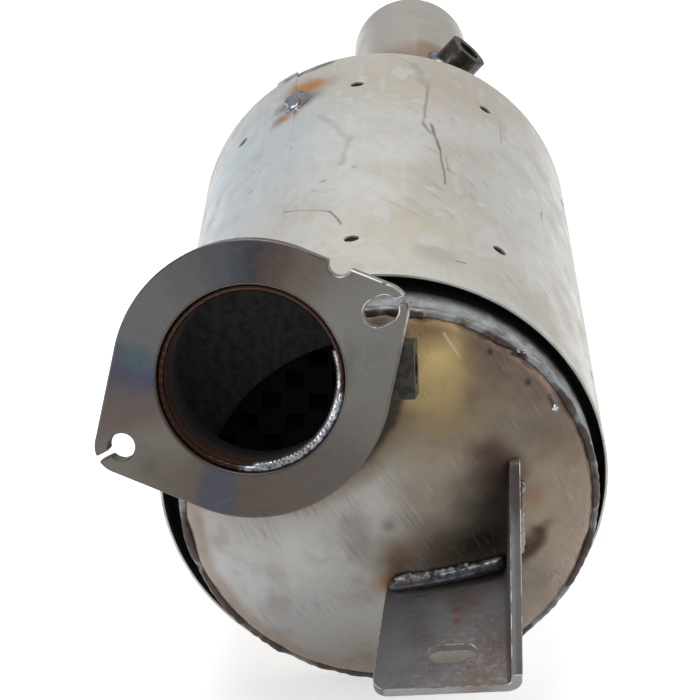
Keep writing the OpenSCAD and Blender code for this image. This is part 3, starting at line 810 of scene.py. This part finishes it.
def flange_edge():
    finish, shader, place = start_finish("flange_edge", 0.38, 0.8)
    speckle = grain(place, 240.0, detail=3.0)
    # Painted highlight: the bevel is bright only at the upper right, where light falls on the edge, broken up
    # by speckle.
    upper = between(along(place, flange_up), 0.012, 0.030)
    right = between(along(place, flange_right), 0.026, 0.040)
    painted_highlight = calc("MULTIPLY", calc("MULTIPLY", upper, right), between(speckle, 0.3, 0.5))
    plug(shader, layer((0.11, 0.10, 0.09), (0.58, 0.57, 0.55), painted_highlight))
    return finish


FLANGE_BEVEL, BOSS_BEVEL = 0.0006, 0.0007
soften("inlet_flange_plate", "inlet_flange", "flange_steel", FLANGE_BEVEL, flange_steel(), flange_edge())
turned_steel = mottled_steel("turned_steel", (0.095, 0.092, 0.084), (0.055, 0.050, 0.044))
# The bosses' bevels take a paler steel than their body: edge wear and a painted highlight.
boss_edge = mottled_steel("boss_edge", (0.20, 0.19, 0.18), (0.08, 0.075, 0.07))
soften("inlet_sensor_block", "inlet_sensor_boss", "flange_steel", BOSS_BEVEL, turned_steel, boss_edge)
soften("outlet_sensor_ring", "outlet_sensor_boss", "flange_steel", BOSS_BEVEL, turned_steel, boss_edge)

# %% [markdown]
# ## The bracket
# The bracket is a folded plate whose leaf has a bolt slot. It is darker than the cone, rusty in places, and
# burnt where it meets the cone. Its cut edges at the front carry a painted highlight that makes them paler
# than its faces, and they are picked out by their place in the bracket's own frame.

# %% Make the bracket
BRACKET_BEVEL = 0.0008
FIN_LEAN, FIN_RISE = radians(4.5), radians(28.85)
bracket_right, bracket_back, bracket_up = directions(BRACKET)
BRACKET_AT = BRACKET.translation
FIN_TOE = BRACKET @ Vector((0.0, -0.0635, 0.0055))
fin_right = bracket_right * cos(FIN_LEAN) - bracket_up * sin(FIN_LEAN)
fin_edge = bracket_up * cos(FIN_RISE) - bracket_back * sin(FIN_RISE)
LEAF_RUST = [
    ((0.0819, 0.0145, -0.1105), 0.0036, (0.16, 0.060, 0.040), 0.85),
    ((0.0818, 0.0085, -0.1123), 0.0036, (0.16, 0.060, 0.040), 0.75),
    ((0.0907, -0.0226, -0.1215), 0.014, (0.16, 0.095, 0.075), 0.6),
    ((0.0992, -0.0073, -0.1160), 0.014, (0.14, 0.090, 0.078), 0.6),
    ((0.0877, 0.0195, -0.1093), 0.013, (0.12, 0.082, 0.070), 0.6),
]


def bracket_steel():
    finish, shader, place = start_finish("bracket_steel", 0.5, 0.45)
    cloud = grain(place, 50.0, detail=5.0)
    fine = grain(place, 380.0, detail=3.0)
    colour = layer((0.165, 0.158, 0.156), (0.115, 0.104, 0.102), between(cloud, 0.38, 0.66))
    across = along(place, bracket_right, BRACKET_AT)
    colour = layer(colour, (0.205, 0.205, 0.208), between(across, -0.036, -0.058, 0.0, 0.7))
    colour = layer(colour, (0.26, 0.25, 0.25), between(fine, 0.52, 0.75, 0.0, 0.35))
    ahead = along(place, bracket_back, BRACKET_AT)
    deep = ragged_edge(place, ahead, 90.0, 0.010)
    # Painted highlight: the front edge of the leaf is laid pale.
    colour = layer(colour, (0.34, 0.35, 0.34), between(ahead, -0.0630, -0.0634, 0.0, 0.8))
    # Painted highlight: a pale stripe on the left part of the fin's front edge.
    side = between(along(place, fin_right, FIN_TOE), -0.0018, -0.0028, 0.25, 1.0)
    edge = between(along(place, fin_edge, FIN_TOE), -0.0008, -0.0004)
    colour = layer(colour, (0.24, 0.245, 0.24), calc("MULTIPLY", side, edge))
    colour = paint(place, colour, LEAF_RUST)
    colour = layer(colour, (0.06, 0.042, 0.035), between(deep, -0.012, 0.004, 0.0, 0.85))
    plug(shader, colour, between(fine, 0.3, 0.7, 0.42, 0.6))
    emboss(shader, fine, 0.0002)
    return finish


# The bracket's bevels take a much paler steel: edge wear and a painted highlight.
soften("mounting_bracket_plate", "mounting_bracket", "bracket_steel", BRACKET_BEVEL, bracket_steel(),
       mottled_steel("bracket_edge_wear_and_highlight", (0.50, 0.49, 0.48), (0.22, 0.21, 0.20)))

# %% [markdown]
# ## The welds
# A weld bead freezes in ripples, one behind the other, as the torch moves on. A ring is spun from a small
# circle, and each of its points is then pushed in or out by a ripple that runs round the joint and by some
# noise. A path with a height keeps a bead on a joint that isn't flat.

# %% Define the weld beads
STEPS_PER_RIPPLE, RING_SIDES, ROD_SIDES = 4, 12, 14
RIPPLE_SLANT = 0.0006
FINE_NOISE, SLOW_NOISE = 260.0, 55.0


def ripple(run, lean, pitch, seed, depth):
    """Swell of a bead at a run along it, with the ripples leaning across."""
    wave = abs(sin(pi * (run + RIPPLE_SLANT * lean) / pitch))
    rough = noise.noise((run * FINE_NOISE, lean * 0.7, seed)) * 0.7
    fat = noise.noise((run * SLOW_NOISE, 0.0, seed + 5.0))
    return 1.0 + depth * (wave - 0.6 + rough + fat)


def bead_ring(matrix, radius, bead, pitch, seed, depth, path=None):
    """A closed bead of a given radius, whose middle may be laid on a path from the turn to a place."""
    around = 2 * pi * radius
    shape = bmesh.new()
    bmesh.ops.create_circle(shape, segments=RING_SIDES, radius=bead,
                            matrix=Matrix.Translation((radius, 0, 0)) @ Matrix.Rotation(pi / 2, 4, "X"))
    bmesh.ops.spin(shape, geom=shape.verts[:] + shape.edges[:], cent=(0, 0, 0), axis=(0, 0, 1),
                   angle=2 * pi, steps=int(STEPS_PER_RIPPLE * around / pitch), use_merge=True)
    bmesh.ops.remove_doubles(shape, verts=shape.verts, dist=1e-7)
    whole = around / round(around / pitch)
    for point in shape.verts:
        turn = atan2(point.co.y, point.co.x)
        middle = Vector((radius * cos(turn), radius * sin(turn), 0.0))
        off = point.co - middle
        swell = ripple(turn * radius, off.z / bead, whole, seed, depth)
        point.co = (path(turn) if path else middle) + off * swell
    bmesh.ops.recalc_face_normals(shape, faces=shape.faces)
    bmesh.ops.transform(shape, matrix=matrix, verts=shape.verts)
    return shape


def bead_rod(length, bead, pitch, seed, depth, path):
    """An open bead with round ends, laid on a path from its run to a frame whose x follows the bead."""
    shape = bmesh.new()
    bmesh.ops.create_cone(shape, cap_ends=True, segments=ROD_SIDES, radius1=bead, radius2=bead, depth=length,
                          matrix=Matrix.Rotation(pi / 2, 4, "Y"))
    long_edges = [e for e in shape.edges if abs(e.verts[0].co.x - e.verts[1].co.x) > length / 2]
    bmesh.ops.subdivide_edges(shape, edges=long_edges, use_grid_fill=True,
                              cuts=int(STEPS_PER_RIPPLE * length / pitch))
    for point in shape.verts:
        run = point.co.x
        end = max(0.0, 1.0 - (length / 2 - abs(run)) / bead)
        swell = ripple(run, point.co.z / bead, pitch, seed, depth) * sqrt(max(0.02, 1.0 - end ** 2))
        point.co = path(run) @ Vector((0.0, point.co.y * swell, point.co.z * swell))
    bmesh.ops.recalc_face_normals(shape, faces=shape.faces)
    return shape


def weld_metal(name, bright, dark, tint):
    finish, shader, place = start_finish(name, 0.32, 0.9)
    flecks = grain(place, 260.0, detail=5.0)
    cloud = grain(place, 90.0, detail=4.0)
    colour = layer(bright, dark, between(flecks, 0.4, 0.62))
    colour = layer(colour, tint, between(cloud, 0.46, 0.62, 0.0, 0.85))
    plug(shader, colour, between(flecks, 0.3, 0.7, 0.22, 0.45))
    return finish


burnt_bead = weld_metal("burnt_bead", (0.30, 0.28, 0.26), (0.14, 0.10, 0.08), (0.10, 0.06, 0.04))
silver_bead = weld_metal("silver_bead", (0.58, 0.61, 0.66), (0.26, 0.26, 0.28), (0.20, 0.145, 0.12))
print("weld finishes:", burnt_bead.name, silver_bead.name)

# %% [markdown]
# ## The seam welds
# Each pressed end slides into the can and is welded round its rim. The torch wandered a little, so the bead
# isn't a true circle: a slow noise moves it to and fro along the body. A few drops of spatter have stuck to
# the front rim, each a small ball that noise has dented.

# %% Make the seam welds
CAN_INNER = 0.086
SEAM_BEAD, SEAM_PITCH, SEAM_DEPTH = 0.0020, 0.0046, 0.11
WANDER_REACH, WANDER_RATE = 0.0022, 6.0


def wander(seed):
    """A path round the can that strays to and fro along the body."""
    def path(turn):
        x, y = cos(turn), sin(turn)
        stray = noise.fractal((WANDER_RATE * x, WANDER_RATE * y, seed), 0.8, 2.0, 3)
        return Vector((CAN_INNER * x, CAN_INNER * y, WANDER_REACH * stray))
    return path


def seam_metal(name, edge, ahead):
    """Grey like the can behind, and burnt brown towards the dome, with a wavy border."""
    finish, shader, place = start_finish(name, 0.5, 0.3)
    flecks = grain(place, 170.0, detail=6.0)
    colour = layer((0.33, 0.345, 0.355), (0.19, 0.18, 0.17), between(flecks, 0.40, 0.64))
    run = ragged_edge(place, along(place, (0, ahead, 0), (0, edge, 0)), 75.0, 0.007)
    colour = layer(colour, (0.060, 0.038, 0.028), between(run, 0.0042, 0.0052, 0.0, 0.92))
    plug(shader, colour, between(flecks, 0.3, 0.7, 0.48, 0.7))
    return finish


def lump(size, seed, subdivisions):
    """A drop of weld metal: a ball that is dented by noise and then stretched."""
    shape = bmesh.new()
    bmesh.ops.create_icosphere(shape, subdivisions=subdivisions, radius=1.0)
    for point in shape.verts:
        out = point.co.normalized()
        dent, pit = noise.noise(out * 1.6 + Vector((seed, 0, 0))), noise.noise(out * 5.0)
        point.co *= 0.85 + 0.34 * dent + 0.10 * pit
    bmesh.ops.scale(shape, vec=size, verts=shape.verts)
    return shape


def joined(first, *others):
    """Puts further shapes into the first."""
    for other in others:
        mesh = bpy.data.meshes.new("other")
        other.to_mesh(mesh)
        other.free()
        first.from_mesh(mesh)
        bpy.data.meshes.remove(mesh)
    return first


def spatter(place, size, seed):
    shape = lump((size, size, size), seed, 3)
    bmesh.ops.translate(shape, vec=place, verts=shape.verts)
    return in_finish(shape, 1)


SPATTER = {
    "front_seam_weld": [((0.1215, 0.0470, -0.0345), 0.0019), ((0.1190, 0.0480, -0.0300), 0.0012),
                        ((0.1062, 0.0495, -0.0100), 0.0013), ((0.1087, 0.0500, -0.0107), 0.0011)],
    "rear_seam_weld": [],
}
for seam, at, seed, ahead in (("front_seam_weld", CAN_FRONT, 2.0, -1), ("rear_seam_weld", CAN_BACK, 9.0, 1)):
    rim = BODY @ Matrix.Translation((0, 0, at))
    ring = bead_ring(rim, CAN_INNER, SEAM_BEAD, SEAM_PITCH, seed, SEAM_DEPTH, wander(seed))
    drops = [spatter(place, size, 50.0 + count) for count, (place, size) in enumerate(SPATTER[seam])]
    add_piece(seam + "_bead", joined(ring, *drops), "weld_metal", seam,
              seam_metal(seam + "_metal", AXIS.y + at, ahead), silver_bead)

# %% [markdown]
# ## The welds of the inlet
# The pipe is welded to the flange from the front, inside the bore, and to the collar from outside. The last
# part of the front weld, at the lower right, has stayed silver, so it is a thicker bead of its own over the
# ring. The rest has burnt brown.

# %% Make the inlet welds
INLET_R = 0.03675
COLLAR = FLANGE @ Matrix.Translation((0, 0, -0.0326))
BORE_JOINT = FLANGE @ Matrix.Translation((0, 0, -0.0036))
BORE_RING_R, BORE_BEAD_R, BORE_BEAD_AT = 0.0358, 0.0353, -0.0046
FRESH_MIDDLE, FRESH_SPAN = radians(-33.0), radians(112.0)
RIPPLE_DEPTH = 0.16


def bore_bead():
    finish, shader, place = start_finish("bore_bead", 0.3, 0.85)
    turn, _ = round_bore(place)
    flecks = grain(place, 480.0, detail=3.0)
    silver = layer((0.50, 0.53, 0.58), (0.13, 0.14, 0.17), between(flecks, 0.42, 0.6))
    fresh = calc("MULTIPLY", between(turn, 0.70, 0.78), between(turn, 1.0, 0.96))
    burnt = layer(silver, (0.055, 0.028, 0.020), between(fresh, 0.6, 0.3))
    plug(shader, burnt, between(flecks, 0.3, 0.7, 0.2, 0.45))
    return finish


def round_the_bore(run):
    """A frame on the bore's joint whose x follows the bead."""
    return (FLANGE @ Matrix.Rotation(FRESH_MIDDLE + run / BORE_BEAD_R, 4, "Z")
            @ Matrix.Translation((BORE_BEAD_R, 0, BORE_BEAD_AT)) @ Matrix.Rotation(pi / 2, 4, "Z"))


ring = bead_ring(BORE_JOINT, BORE_RING_R, bead=0.0015, pitch=0.0036, seed=3.0, depth=RIPPLE_DEPTH)
fresh_end = bead_rod(FRESH_SPAN * BORE_BEAD_R, bead=0.0023, pitch=0.0018, seed=8.0, depth=0.11,
                     path=round_the_bore)
add_piece("flange_weld_bead", joined(ring, in_finish(fresh_end, 1)), "weld_metal", "flange_weld",
          bore_bead(), silver_bead)
add_piece("collar_weld_bead",
          bead_ring(COLLAR, INLET_R + 0.0005, bead=0.0011, pitch=0.0034, seed=4.0, depth=RIPPLE_DEPTH),
          "weld_metal", "inlet_pipe_weld", burnt_bead)

# %% [markdown]
# ## The outlet weld
# The outlet pipe leaves the domed rear end off its middle, so the joint rises and falls round the pipe. The
# height of the bead comes from the dome's own sphere.

# %% Make the outlet weld
OUTLET_R = 0.03175
OUTLET_RING = OUTLET_R + 0.0008
OUTLET = BODY @ Matrix.Translation((OUTLET_SIDE, -OUTLET_RISE, 0.0))
RIM_SET, KNUCKLE_R, FIT_GAP = 0.002, 0.008, 0.0001
KNUCKLE_MID = CAN_INNER - FIT_GAP - KNUCKLE_R
BEHIND = CAN_BACK - RIM_SET - sqrt((CROWN_R - KNUCKLE_R) ** 2 - KNUCKLE_MID ** 2)


def round_outlet(turn):
    """Where the pipe leaves the rear dome."""
    place = Vector((OUTLET_RING * cos(turn), OUTLET_RING * sin(turn), BEHIND + 0.0004))
    place.z += sqrt(CROWN_R ** 2 - (place.x + OUTLET_SIDE) ** 2 - (place.y - OUTLET_RISE) ** 2)
    return place


add_piece("outlet_weld_bead",
          bead_ring(OUTLET, OUTLET_RING, bead=0.0018, pitch=0.0038, seed=6.0, depth=RIPPLE_DEPTH,
                    path=round_outlet),
          "weld_metal", "outlet_pipe_weld", burnt_bead)

# %% [markdown]
# ## The bracket's welds
# One bead lies along the back of the leaf, dark and nearly as thick as a pencil, with a thin silver trail on
# top of it. A paler one runs up the right side of the fin. All follow the curve that the plate cuts on the
# dome, which is found in the bracket's own frame.

# %% Make the bracket's welds
crown_middle = BRACKET.inverted() @ (AXIS + Vector((0.0, CROWN_MID, 0.0)))


def on_dome(x, z, lift):
    """A frame in the bracket's axes where the plate meets the dome, a little in front of it."""
    depth = crown_middle.y - sqrt(CROWN_R ** 2 - (x - crown_middle.x) ** 2 - (z - crown_middle.z) ** 2)
    return BRACKET @ Matrix.Translation((x, depth - lift, z))


ROD_MIDDLE, ROD_RISE, ROD_TILT = -0.0283, 0.0031, 0.067
FIN_BEAD_MIDDLE, FIN_BEAD_OUT = 0.0220, 0.0010


def rod_height(x):
    """The bead climbs a little towards the fin."""
    return ROD_RISE + ROD_TILT * (x - ROD_MIDDLE)


def on_leaf(x, rise, lift):
    return on_dome(x, rod_height(x) + rise, lift)


def on_fin(run):
    """A frame up the right side of the fin, leaning out with it."""
    rise = run + FIN_BEAD_MIDDLE
    foot = on_dome(FIN_BEAD_OUT + rise * sin(FIN_LEAN), rise, FIN_BEAD_OUT)
    return foot @ Matrix.Rotation(FIN_LEAN - pi / 2, 4, "Y")


leaf_bead = bead_rod(0.0490, bead=0.0031, pitch=0.0046, seed=12.0, depth=0.05,
                     path=lambda run: on_leaf(run - 0.0290, rise=0.0, lift=0.0022))
leaf_trail = bead_rod(0.0320, bead=0.0013, pitch=0.0034, seed=13.0, depth=0.55,
                      path=lambda run: on_leaf(run - 0.0352, rise=0.0024, lift=0.0014))
fin_bead = bead_rod(0.0320, bead=0.0018, pitch=0.0044, seed=15.0, depth=0.25, path=on_fin)


def bracket_bead():
    finish, shader, place = start_finish("bracket_bead", 0.3, 0.7)
    flecks = grain(place, 420.0, detail=3.0)
    patches = grain(place, 190.0, detail=3.0)
    colour = layer((0.115, 0.125, 0.145), (0.060, 0.064, 0.074), between(flecks, 0.38, 0.6))
    rod_axis = BRACKET @ Vector((ROD_MIDDLE, 0.0, ROD_RISE))
    above = along(place, bracket_up - ROD_TILT * bracket_right, rod_axis)
    silver = calc("MULTIPLY", between(above, 0.0022, 0.0032), between(patches, 0.40, 0.52))
    colour = layer(colour, (0.44, 0.44, 0.44), silver)
    side = along(place, bracket_right, BRACKET_AT)
    colour = layer(colour, (0.27, 0.235, 0.215), between(side, -0.003, -0.001))
    colour = layer(colour, (0.13, 0.085, 0.06), between(patches, 0.52, 0.66, 0.0, 0.8))
    plug(shader, colour, between(flecks, 0.3, 0.7, 0.26, 0.5))
    return finish


add_piece("bracket_weld_beads", joined(leaf_bead, leaf_trail, fin_bead), "weld_metal", "bracket_welds",
          bracket_bead())

# %% [markdown]
# ## The sensor bosses' welds
# The round boss stands on the outlet pipe and the square one on the inlet pipe. A ring round each of them is
# bent over the pipe: its height is that of the pipe's own circle.

# %% Make the bosses' welds
ROUND_BOSS = (OUTLET @ Matrix.Rotation(radians(41.0), 4, "Z") @ Matrix.Translation((0, 0, CAN_BACK + 0.036))
              @ Matrix.Rotation(pi / 2, 4, "X"))
SQUARE_BOSS = (FLANGE @ Matrix.Rotation(radians(4.0), 4, "Z") @ Matrix.Translation((0, 0, -0.0196))
               @ Matrix.Rotation(pi / 2, 4, "Y"))
BOSS_RING, FOOT_LIFT = 0.0114, 0.0003
BLOCK_HALF_X, BLOCK_HALF_Y, SQUARENESS = 0.0098, 0.0111, 0.35


def round_foot(turn):
    x, y = BOSS_RING * cos(turn), BOSS_RING * sin(turn)
    return Vector((x, y, sqrt(OUTLET_R ** 2 - x ** 2) + FOOT_LIFT))


def squarer(share):
    """Pushes a sine or cosine out towards 1 or -1, which turns a circle into a rounded square."""
    return copysign(abs(share) ** SQUARENESS, share)


def square_foot(turn):
    x, y = BLOCK_HALF_X * squarer(cos(turn)), BLOCK_HALF_Y * squarer(sin(turn))
    return Vector((x, y, sqrt(INLET_R ** 2 - y ** 2) + FOOT_LIFT))


round_ring = bead_ring(ROUND_BOSS, BOSS_RING, bead=0.0030, pitch=0.0062, seed=21.0, depth=0.26,
                       path=round_foot)
square_ring = bead_ring(SQUARE_BOSS, BOSS_RING, bead=0.0010, pitch=0.0034, seed=25.0, depth=RIPPLE_DEPTH,
                        path=square_foot)
add_piece("sensor_weld_beads", joined(round_ring, square_ring), "weld_metal", "sensor_boss_welds",
          weld_metal("boss_bead", (0.46, 0.50, 0.56), (0.18, 0.18, 0.21), (0.30, 0.17, 0.10)))

# %% [markdown]
# ## The tack welds
# Two tack welds hold the shield's lap seam. A tack is a flat lump that never comes out round, so a ball is
# flattened and roughened with noise, and its underside is cut off where it meets the sheet.

# %% Make the tack welds
TACK_SIZE = (0.0082, 0.0165, 0.0042)
TACK_ROOT = -0.0008
FRONT_ROW, REAR_ROW = 0.040, 0.240
SHIELD_R, SEAM_TURN = 0.095, radians(-28.0)


def tack(row, seed):
    shape = lump(TACK_SIZE, seed, 4)
    for point in shape.verts:
        point.co.z = max(point.co.z, TACK_ROOT)
    seat = (Matrix.Translation(SHIELD_AXIS) @ Matrix.Rotation(-pi / 2, 4, "X")
            @ Matrix.Rotation(SEAM_TURN, 4, "Z") @ Matrix.Translation((0, 0, row))
            @ Matrix.Rotation(pi / 2, 4, "X") @ Matrix.Translation((0, 0, SHIELD_R)))
    bmesh.ops.transform(shape, verts=shape.verts, matrix=seat)
    return shape


add_piece("shield_tack_lumps", joined(tack(FRONT_ROW, 31.0), tack(REAR_ROW, 37.0)),
          "weld_metal", "shield_tack_welds",
          weld_metal("tack_bead", (0.42, 0.46, 0.54), (0.24, 0.25, 0.29), (0.30, 0.19, 0.11)))

# %% [markdown]
# ## Done

# %% Done
print("the scene is dressed")
